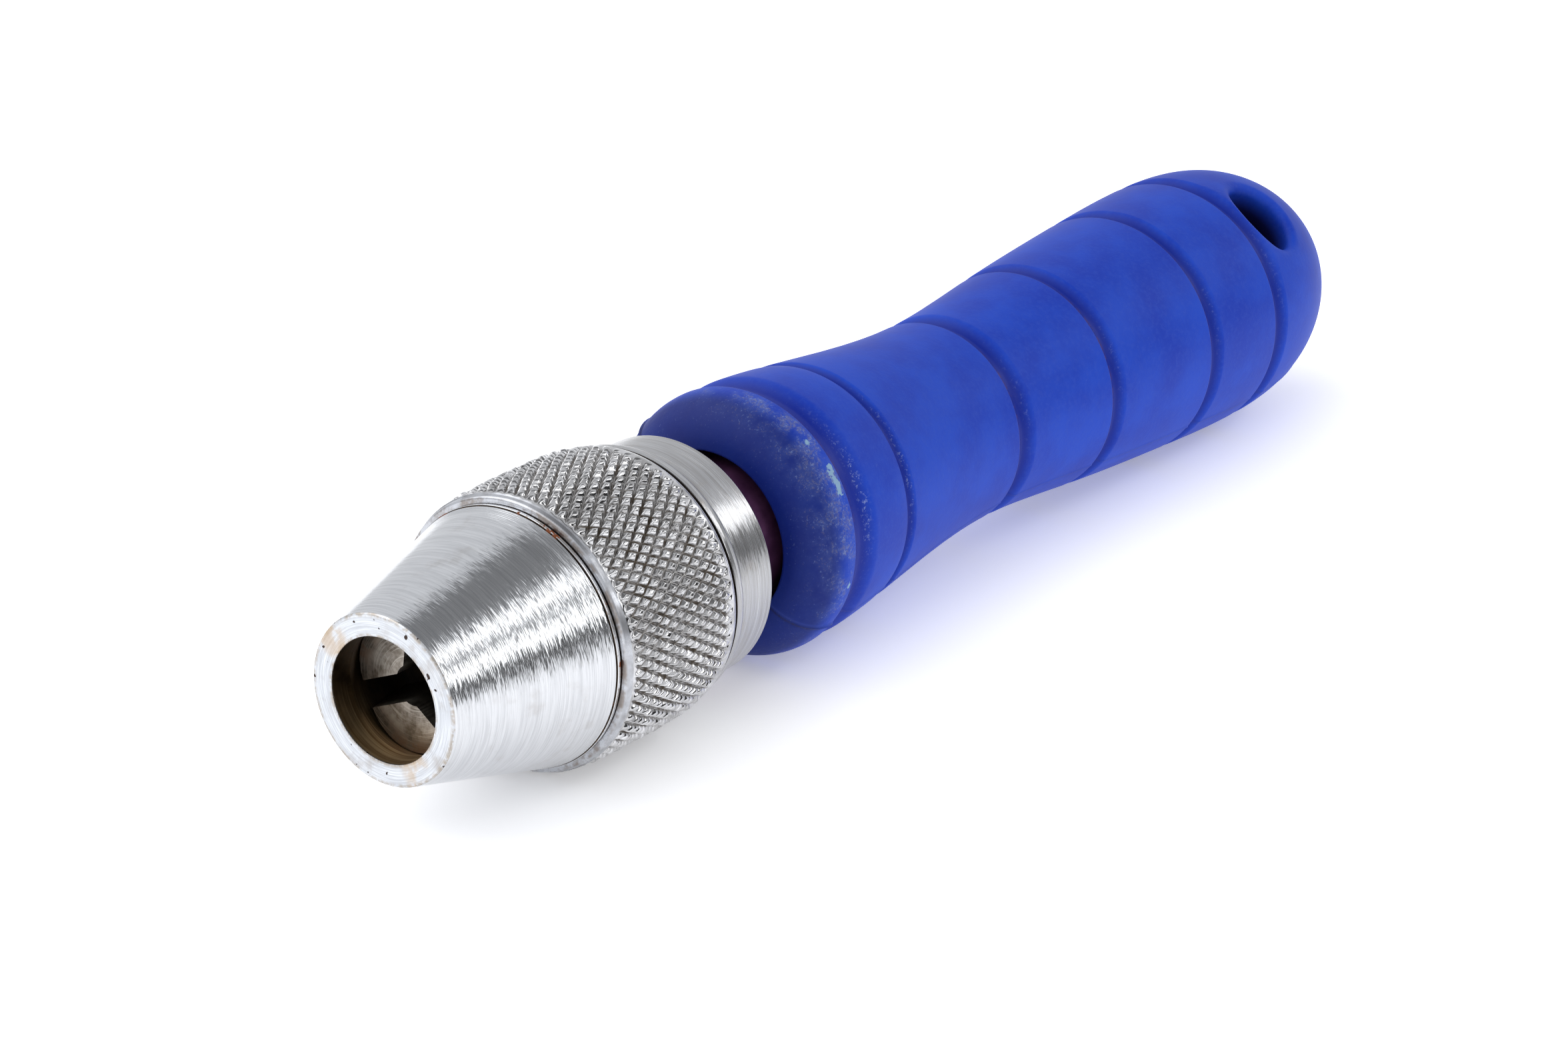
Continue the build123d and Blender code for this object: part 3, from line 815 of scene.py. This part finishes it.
def handle_lands():
    """The CAD handle's outline with its ring grooves filled in, as x and r, and the grooves found,
    each as (centre, depth, left, right)."""
    fine_x = np.concatenate([np.arange(handle_start + 0.01, handle_end - 4, 0.1),
                             handle_end - 4 * np.cos(np.linspace(0, math.pi / 2, 90))[:-1]])
    solid_from = POCKET_END + 2
    raw = np.concatenate([outline("handle_grip", fine_x[fine_x < solid_from], RECESS_R - 0.02),
                          outline("handle_grip", fine_x[fine_x >= solid_from], 0.0)])
    known = np.isfinite(raw)
    raw = np.interp(fine_x, fine_x[known], raw[known])
    evenly = np.arange(handle_start + 5.6, handle_end - 6, 0.1)
    even_r = np.interp(evenly, fine_x, raw)
    reach = 24
    padded = np.pad(even_r, reach, mode="edge")
    grown = np.array([padded[i:i + 2 * reach + 1].max() for i in range(len(even_r))])
    padded = np.pad(grown, reach, mode="edge")
    filled = np.array([padded[i:i + 2 * reach + 1].min() for i in range(len(even_r))])
    depth = filled - even_r
    deep = depth > 0.15
    starts = np.flatnonzero(deep & ~np.roll(deep, 1))
    grooves = []
    for start in starts:
        stop = start
        while stop < len(deep) and deep[stop]:
            stop += 1
        if start == 0 or stop == len(deep):
            continue
        best = start + int(np.argmax(depth[start:stop]))
        grooves.append((evenly[best], depth[best], evenly[start], evenly[stop]))
    outside = np.ones(len(evenly), bool)
    for _, _, left, right in grooves:
        outside &= ~((evenly > left - 0.35) & (evenly < right + 0.35))
    smooth_r = np.interp(evenly, evenly[outside], even_r[outside])
    kernel = np.exp(-np.linspace(-2, 2, 31) ** 2)
    padded = np.pad(smooth_r, 15, mode="reflect", reflect_type="odd")
    smooth_r = np.convolve(padded, kernel / kernel.sum(), "valid")

    in_body = (fine_x >= evenly[0]) & (fine_x <= evenly[-1])
    lands = raw.copy()
    lands[in_body] = np.interp(fine_x[in_body], evenly, smooth_r)
    return fine_x, lands, grooves


def groove_profile(x, grooves):
    """How deep each place along the handle is cut, and how much painted shade, dirt, and grit with a painted
    highlight it gets.
    """
    cut, shade, dirt, grit_and_highlight = (np.zeros(len(x)) for _ in range(4))
    for centre, drop, left, right in grooves:
        width = right - left
        front = left - 0.40
        sharp_edge = smoothstep(x, front, front + 0.36 * width)
        soft_edge = 1 - smoothstep(x, centre + 0.22 * width, right + 0.70 * width)
        cut = np.maximum(cut, (drop * 1.2 + 0.26) * sharp_edge * soft_edge)
        shade = np.maximum(shade, smoothstep(x, front + 0.05 * width, front + 0.25 * width)
                           * (1 - smoothstep(x, centre + 0.32 * width, right + 0.62 * width)))
        dirt = np.maximum(dirt, np.exp(-((x - front - 0.52 * width) / min(0.20 * width, 0.28)) ** 2)
                          * (0.35 if centre < grooves[0][0] + 1 else 1.0))
        # Rear edge of each groove: grit, and a painted highlight on that edge
        grit_and_highlight = np.maximum(grit_and_highlight, np.exp(-((x - right - 0.16 * width) / (0.20 * width)) ** 2))
    return cut, shade, dirt, grit_and_highlight


def mark_handle(handle, across_dir, x, r, grooves, profile):
    """Stores how much each point is worn, bruised or dirty, and how deep in a groove or hole it lies, which
    sets the painted shade there.
    """
    shade, dirt, grit_and_highlight = profile
    at = np.array([v.co for v in handle.data.vertices]) / MM
    at_x = at[:, 0]
    at_angle = np.degrees(np.arctan2(at[:, 1], at[:, 2]))
    crest = handle_start + 4.7

    def lobe(value, centre, spread):
        return np.exp(-((value - centre) / spread) ** 2)

    worn_side = 0.35 + 0.65 * lobe(at_angle, -62, 62)
    wear = (lobe(at_x, crest, 1.0) + 0.60 * lobe(at_x, crest - 2.0, 2.4)) * worn_side
    wear += 0.12 * smoothstep(-at_x, -(handle_start + 25), -handle_start) + 0.03
    for centre, _, left, right in grooves:
        wear += 0.30 * lobe(at_x, right + 0.4, 0.5) * lobe(at_angle, -62, 40) * (centre < 100)
    shade_at = np.interp(at_x, x, shade)
    in_hole = np.hypot(at_x - hole_x, at @ np.array(across_dir)) < 4.5
    sunk = np.interp(at_x, x, r) - np.hypot(at[:, 1], at[:, 2])
    # Inside the hang hole the groove attribute carries painted shade that grows with depth
    shade_at = np.where(in_hole, np.maximum(shade_at, smoothstep(sunk, 0.8, 4.5)), shade_at)
    bruise = smoothstep(at_angle, -70, -64) * smoothstep(-at_angle, 47, 53)
    chip = lobe(at_x, crest + 0.35 + 0.18 * np.sin(at_angle * 0.8), 0.32) * bruise
    chip = np.maximum(chip, 0.80 * lobe(at_x, crest + 0.15, 0.75) * bruise)
    chip += 0.90 * lobe(at_x, crest + 0.5, 0.4) * lobe(at_angle, -105, 3.2)
    chip += 0.80 * lobe(at_x, crest - 0.3, 0.6) * lobe(at_angle, -40, 4)
    dirty_side = 0.25 + 0.75 * lobe(at_angle, -58, 42)
    grit_and_highlight_side = lobe(at_angle, -66, 26)
    seam_angles = [math.degrees(hole_angle) + quarter for quarter in (-90, 90)]
    mould_line = np.maximum(*(lobe(at_angle, angle - 0.9, 0.9) for angle in seam_angles))
    mould_edge = np.maximum(*(lobe(at_angle, angle + 0.9, 0.9) for angle in seam_angles))
    on_dome = 0.3 + 0.7 * (at_x < handle_start + 6.5)
    # deep: painted shade, nearly black, deep inside the hang hole
    deep = np.where(in_hole, smoothstep(sunk, 0.5, 3.6), 0.0)
    for name, values in (("wear", wear), ("chip", chip), ("groove", shade_at),
                         ("groove_edge", np.interp(at_x, x, dirt) * dirty_side),
                         ("grit_and_highlight", np.interp(at_x, x, grit_and_highlight) * grit_and_highlight_side * (1 - 0.8 * (at_x > 75))),
                         ("mould", mould_line * on_dome), ("mould_edge", mould_edge * on_dome),
                         ("deep", deep)):
        values = np.clip(values, 0, 1).astype(np.float32)
        handle.data.attributes.new(name, "FLOAT", "POINT").data.foreach_set("value", values)


def build_handle():
    """The handle, with ring grooves, a mould line on two sides and a hang hole through the tail."""
    columns = 360
    angles = hole_angle + np.arange(columns) * 2 * math.pi / columns

    # Outline of the lands: dome, body and rounded tail, with finer steps in the grooves
    fine_x, lands, grooves = handle_lands()
    lands_at = np.column_stack([np.append(fine_x, handle_end), np.append(lands, 0.0)])
    rows = resample(lands_at, 0.22)
    rows = rows[:-1] if rows[-1, 1] < 0.02 else rows
    finer = np.concatenate([np.arange(left - 0.8, right + 1.2, 0.09) for _, _, left, right in grooves])
    finer = np.column_stack([finer, np.interp(finer, fine_x, lands)])
    coarse = [row for row in rows if np.abs(finer[:, 0] - row[0]).min() > 0.05]
    rows = np.concatenate([coarse, finer])
    rows = rows[np.argsort(rows[:, 0])]
    x = rows[:, 0]
    cut, shade, dirt, grit_and_highlight = groove_profile(x, grooves)
    r = rows[:, 1] - cut

    # Near the hang hole the surface is left plain, so that its mouth joins smoothly
    from_hole = angles - hole_angle
    across_mm = np.abs(np.sin(from_hole))[None, :] * r[:, None]
    apart = np.hypot(x[:, None] - hole_x, across_mm)
    plain_near_hole = smoothstep(apart, 7.2, 12.0)

    # Mould line: a thin raised seam a quarter turn either side of the hang hole, proudest on the dome
    r_grid = np.repeat(r[:, None], columns, axis=1)
    mould = np.zeros(columns)
    mould[[columns // 4, 3 * columns // 4]] = 1.0
    knots = np.arange(handle_start, handle_end, 4.0)
    ridge = 0.05 + 0.03 * np.interp(x, knots, rng.random(len(knots)))
    ridge += 0.16 * smoothstep(-x, -(handle_start + 6.5), -(handle_start + 5.0))
    ridge *= smoothstep(-x, -(handle_end - 1.0), -(handle_end - 6.0))
    r_grid += ridge[:, None] * mould[None, :]

    # Slight unevenness left by moulding
    sway = np.zeros_like(r_grid)
    for _ in range(7):
        kx, kq = rng.normal(0, 0.16), rng.integers(1, 6)
        sway += rng.normal(0, 0.011) * np.cos(kx * x[:, None] + kq * angles[None, :] + rng.uniform(0, 6.3))
    r_grid += sway * plain_near_hole * smoothstep(-x, -(handle_end - 0.5), -(handle_end - 9.0))[:, None]

    # Rounded edge into the recess, then recess, pocket and back
    edge = [(handle_start + 0.16, RECESS_R + 0.02), (handle_start + 0.45, RECESS_R)]
    inner = np.array(edge + [(handle_start + 3, RECESS_R), (RECESS_END - 0.1, RECESS_R),
                             (RECESS_END, RECESS_R - 0.1), (RECESS_END, POCKET_R),
                             (POCKET_END, POCKET_R)])[::-1]
    grid = np.concatenate([ring_points(inner[:, 0], inner[:, 1], angles), ring_points(x, r_grid, angles)])
    vertices = [tuple(p) for p in grid]
    inner_rows, total = len(inner), len(inner) + len(x)

    # The block of faces that gives way to the hang hole, on both sides of the handle
    reach_along, reach_across = 5.2, 7.0
    near = np.flatnonzero(np.abs(x - hole_x) < reach_along)
    top, bottom = near[0], near[-1]
    side = int(round(reach_across / (r[(top + bottom) // 2] * 2 * math.pi / columns)))
    blocks = (0, columns // 2)

    def in_block(row, column):
        if not top <= row - inner_rows < bottom:
            return False
        steps_away = (min((column - c) % columns, (c - column - 1) % columns) for c in blocks)
        return min(steps_away) < side

    faces, zones = [], []
    for row in range(total - 1):
        here, there = row * columns, (row + 1) * columns
        for column in range(columns):
            if in_block(row, column):
                continue
            after = (column + 1) % columns
            faces.append((here + column, there + column, there + after, here + after))
            zones.append(1 if row < inner_rows - 2 else 0)

    # Pocket floor and tail tip close on the axis
    for row, apex_x in ((0, POCKET_END), (total - 1, handle_end)):
        apex = len(vertices)
        vertices.append((apex_x, 0.0, 0.0))
        for column in range(columns):
            ring = row * columns
            faces.append((ring + column, apex, ring + (column + 1) % columns))
            zones.append(1 if row == 0 else 0)

    # Mouth of the hole: rings that turn the block's square edge into a soft oval funnel.  The
    # funnel is wider round the handle than along it, and narrows to the round hole further in.
    across_dir = Vector((1, 0, 0)).cross(hole_axis)
    turns = np.linspace(0, math.pi / 2, 13)
    funnel = [(4.55 - 1.05 * math.sin(t), 6.00 - 1.55 * math.sin(t), 1.5 * (1 - math.cos(t))) for t in turns]
    funnel += [(3.45, 4.25, 2.2), (3.42, 4.05, 3.2), (hole_r, 3.75, 4.5), (hole_r, hole_r, 6.5)]
    mouth_rows = []
    for hand, centre in ((1, blocks[0]), (-1, blocks[1])):
        loop = [(top, c) for c in range(-side, side)] + [(q, side) for q in range(top, bottom)]
        loop += [(bottom, c) for c in range(side, -side, -1)] + [(q, -side) for q in range(bottom, top, -1)]
        ids, places = [], []
        for q, c in loop:
            index = (inner_rows + q) * columns + (centre + hand * c) % columns
            ids.append(index)
            point = Vector(vertices[index])
            places.append((point.x - hole_x, point.dot(across_dir)))
        places = np.array(places)
        around = np.arctan2(places[:, 1] / funnel[0][1], places[:, 0] / funnel[0][0])
        rim = np.column_stack([funnel[0][0] * np.cos(around), funnel[0][1] * np.sin(around)])
        stages = [(places + (rim - places) * share, 0.0) for share in (0.25, 0.5, 0.75)]
        for along, across, sink in funnel:
            stages.append((np.column_stack([along * np.cos(around), across * np.sin(around)]), sink))
        ring_ids = [ids]
        for stage, sink in stages:
            u, v = stage[:, 0], stage[:, 1]
            surface = np.sqrt(np.maximum(np.interp(hole_x + u, x, r) ** 2 - v ** 2, 0.1))
            level = surface - sink
            if sink > 2:
                flatter = min(1.0, (sink - 2) / 4.5)
                level = level + (level.mean() - level) * flatter
            new = []
            for uu, vv, ww in zip(u, v, level):
                new.append(len(vertices))
                vertices.append((hole_x + uu,
                                 vv * across_dir.y + hand * ww * hole_axis.y,
                                 vv * across_dir.z + hand * ww * hole_axis.z))
            ring_ids.append(new)
        count = len(ids)
        for outer_ring, inner_ring in zip(ring_ids, ring_ids[1:]):
            for k in range(count):
                n = (k + 1) % count
                quad = (outer_ring[k], outer_ring[n], inner_ring[n], inner_ring[k])
                faces.append(quad[::-1] if hand > 0 else quad)
                zones.append(0)
        mouth_rows.append(ring_ids[-1])

    # Wall of the hole between the two mouths, matched by place
    upper, lower = mouth_rows
    upper_at = np.array([vertices[i] for i in upper])
    lower_at = np.array([vertices[i] for i in lower])
    flat_upper = np.column_stack([upper_at[:, 0], upper_at @ np.array(across_dir)])
    flat_lower = np.column_stack([lower_at[:, 0], lower_at @ np.array(across_dir)])
    matched = [int(np.argmin(((flat_lower - p) ** 2).sum(axis=1))) for p in flat_upper]
    previous, levels = list(upper), 14
    for level in range(1, levels + 1):
        if level == levels:
            current = [lower[m] for m in matched]
        else:
            current = []
            for k, m in enumerate(matched):
                current.append(len(vertices))
                vertices.append(tuple(upper_at[k] + (lower_at[m] - upper_at[k]) * level / levels))
        for k in range(len(upper)):
            n = (k + 1) % len(upper)
            faces.append((previous[n], previous[k], current[k], current[n]))
            zones.append(0)
        previous = current

    handle = make_object("moulded_handle", vertices, faces, [plastic(), recess_plastic()], zones, sharp=0)

    mark_handle(handle, across_dir, x, r, grooves, (shade, dirt, grit_and_highlight))
    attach(handle, "handle")
    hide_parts("handle_grip")
    return handle


build_nose()
build_sleeve()
build_collar()
build_handle()

# ---------------------------------------------------------------- CAD pieces that stay

finishes = {
    neck_material: ["chuck_body"],
    hidden_steel: ["feed_screw", "jaw_guide", "sleeve_retainer", "mounting_stud", "lock_washer"],
    polished_steel: ["body_race", "ring_race", "thrust_balls"],
    brass("cage_brass_sheet"): ["ball_cage"],
    brass("insert_brass_bar"): ["handle_insert"],
    jaw_material: ["jaw_1", "jaw_2", "jaw_3"],
}
for material, nodes in finishes.items():
    for node in nodes:
        materials = frame["nodes"][node].data.materials
        materials.clear()
        materials.append(material)

# ---------------------------------------------------------------- floor, light and camera

def floor_material():
    """Plain pale card with a faint sheen, which glows a little from below as painted light, as a light table
    would.

    Less of that glow comes from beneath the tool, as a painted contact shadow, and none from far out on the
    tool's right."""
    g = Graph("pale_card", Specular_IOR_Level=0.15, Emission_Color=(0.975, 0.98, 1.0))
    cloud = g.noise(14, 3.0, 0.5)
    past_tail = g.math("MAXIMUM", g.math("SUBTRACT", g.x, handle_end * MM), 0.0)
    beyond = g.math("MAXIMUM", g.times(g.x, -1.0), past_tail)
    away = g.math("SQRT", g.line(beyond, beyond, g.times(g.y, g.y)))
    # Painted contact shadow: the glow is weaker close beneath the tool
    under = g.step(away, 19 * MM, 3 * MM)
    far_right = g.step(g.line(g.x, 0.448, g.times(g.y, -0.894)), 0.108, 0.215)
    lit = g.times(g.line(under, -0.42, 1.0), g.math("SUBTRACT", 1.0, far_right))
    # The floor's glow is painted light
    g.set("Emission Strength", g.times(lit, 0.46))
    g.set("Base Color", g.mix(cloud, (0.945, 0.945, 0.952), (0.955, 0.955, 0.960)))
    g.set("Roughness", g.scale(0.55, 0.65, cloud))
    return g.material


def build_floor():
    """A wide sheet of card under the tool."""
    half, cells_per_side = 3.0, 24
    steps = np.linspace(-half, half, cells_per_side + 1)
    vertices = [((cx + 0.08) / MM, cy / MM, floor_z / MM) for cx in steps for cy in steps]
    wide = cells_per_side + 1
    faces = [(i * wide + j, (i + 1) * wide + j, (i + 1) * wide + j + 1, i * wide + j + 1)
             for i in range(cells_per_side) for j in range(cells_per_side)]
    floor = make_object("pale_floor", vertices, faces, [floor_material()], sharp=0)


def direction(heading, elevation):
    """Unit vector at a heading from +X towards +Y and an elevation, in degrees."""
    h, e = math.radians(heading), math.radians(elevation)
    return Vector((math.cos(e) * math.cos(h), math.cos(e) * math.sin(h), math.sin(e)))


def softbox(name, heading, elevation, width, height, distance, radiance):
    """A rectangular soft light that faces the tool, its size in degrees as seen from the tool."""
    light = bpy.data.lights.new(name, "AREA")
    light.shape = "RECTANGLE"
    light.size = 2 * distance * math.tan(math.radians(width / 2))
    light.size_y = 2 * distance * math.tan(math.radians(height / 2))
    light.energy = radiance * math.pi * light.size * light.size_y
    lamp = bpy.data.objects.new(name, light)
    aim = Vector((0.03, 0.0, 0.0))
    towards = direction(heading, elevation)
    facing = towards.to_track_quat("Z", "Y").to_matrix().to_4x4()
    lamp.matrix_world = Matrix.Translation(aim + towards * distance) @ facing
    bpy.context.scene.collection.objects.link(lamp)
    return lamp


TENT_LEVEL = 0.84


def build_world():
    """A pale tent round the tool, darker where its panels leave gaps, and plain where it is seen."""
    world = bpy.data.worlds.new("tent")
    world.use_nodes = True
    g = Nodes(world.node_tree, "Generated")

    def near(heading, elevation, spread):
        """1 towards a direction, falling to 0 `spread` degrees away."""
        facing = g.add("ShaderNodeVectorMath", operation="DOT_PRODUCT")
        g.join(g.place, facing.inputs[0])
        g.join(direction(heading, elevation), facing.inputs[1])
        outer, inner = (math.cos(math.radians(angle)) for angle in (spread, spread * 0.6))
        return g.step(facing.outputs["Value"], outer, inner)

    def between(low, high, soft):
        """1 between two elevations in degrees, with edges `soft` degrees wide."""
        edges = [math.sin(math.radians(e)) for e in (low - soft, low + soft, high + soft, high - soft)]
        return g.times(g.step(g.z, edges[0], edges[1]), g.step(g.z, edges[2], edges[3]))

    def background(colour, strength):
        made = g.add("ShaderNodeBackground")
        g.join(colour, made.inputs["Color"])
        g.join(strength, made.inputs["Strength"])
        return made.outputs[0]

    # Each gap between panels, and the share of the tent's light that it takes away
    level = TENT_LEVEL
    gaps = ((near(-22, 66, 27), 0.68),
            (near(85, 35, 65), -0.02),
            (g.times(between(-4, 16, 1.0), near(-76, 4, 48)), 0.95),
            (g.times(between(12, 18, 1.0), near(-36, 15, 24)), 0.50),
            (g.times(between(29, 39, 1.5), near(-70, 33, 30)), 0.80))
    for where, share in gaps:
        level = g.times(level, g.math("SUBTRACT", 1.0, g.times(where, share)))
    choose = g.add("ShaderNodeMixShader")
    g.join(g.add("ShaderNodeLightPath").outputs["Is Camera Ray"], choose.inputs[0])
    g.join(background((0.955, 0.97, 1.0), level), choose.inputs[1])
    g.join(background((1.0, 1.0, 1.0), 1.0), choose.inputs[2])
    g.join(choose.outputs[0], g.add("ShaderNodeOutputWorld").inputs[0])
    bpy.context.scene.world = world


def build_camera():
    """Seen from ahead of the nose and to its right, looking down along the tool."""
    heading, pitch = math.radians(36.106), math.radians(21.843)
    aim = Vector((0.06404, 0.0, -0.00265))
    level = math.cos(pitch)
    forward = Vector((level * math.cos(heading), level * math.sin(heading), -math.sin(pitch)))
    camera = bpy.data.cameras.new("camera")
    camera.lens = 107.14
    camera.sensor_width = 36.0
    camera.clip_start = 0.01
    camera.clip_end = 20.0
    holder = bpy.data.objects.new("camera", camera)
    turned_to = forward.to_track_quat("-Z", "Y").to_matrix().to_4x4()
    holder.matrix_world = Matrix.Translation(aim - forward * 0.48796) @ turned_to
    bpy.context.scene.collection.objects.link(holder)
    bpy.context.scene.camera = holder


build_floor()
build_world()
build_camera()
softbox("side_panel", -76, 22.5, 42, 12, 0.9, 1.9)
softbox("upper_panel", -68, 45.5, 40, 9, 0.9, 1.9)
softbox("rear_side_panel", -33, 26.0, 20, 10, 0.9, 2.6)
softbox("back_panel", 122, 48, 64, 44, 1.2, 1.35)
bpy.context.scene.view_settings.view_transform = "Standard"
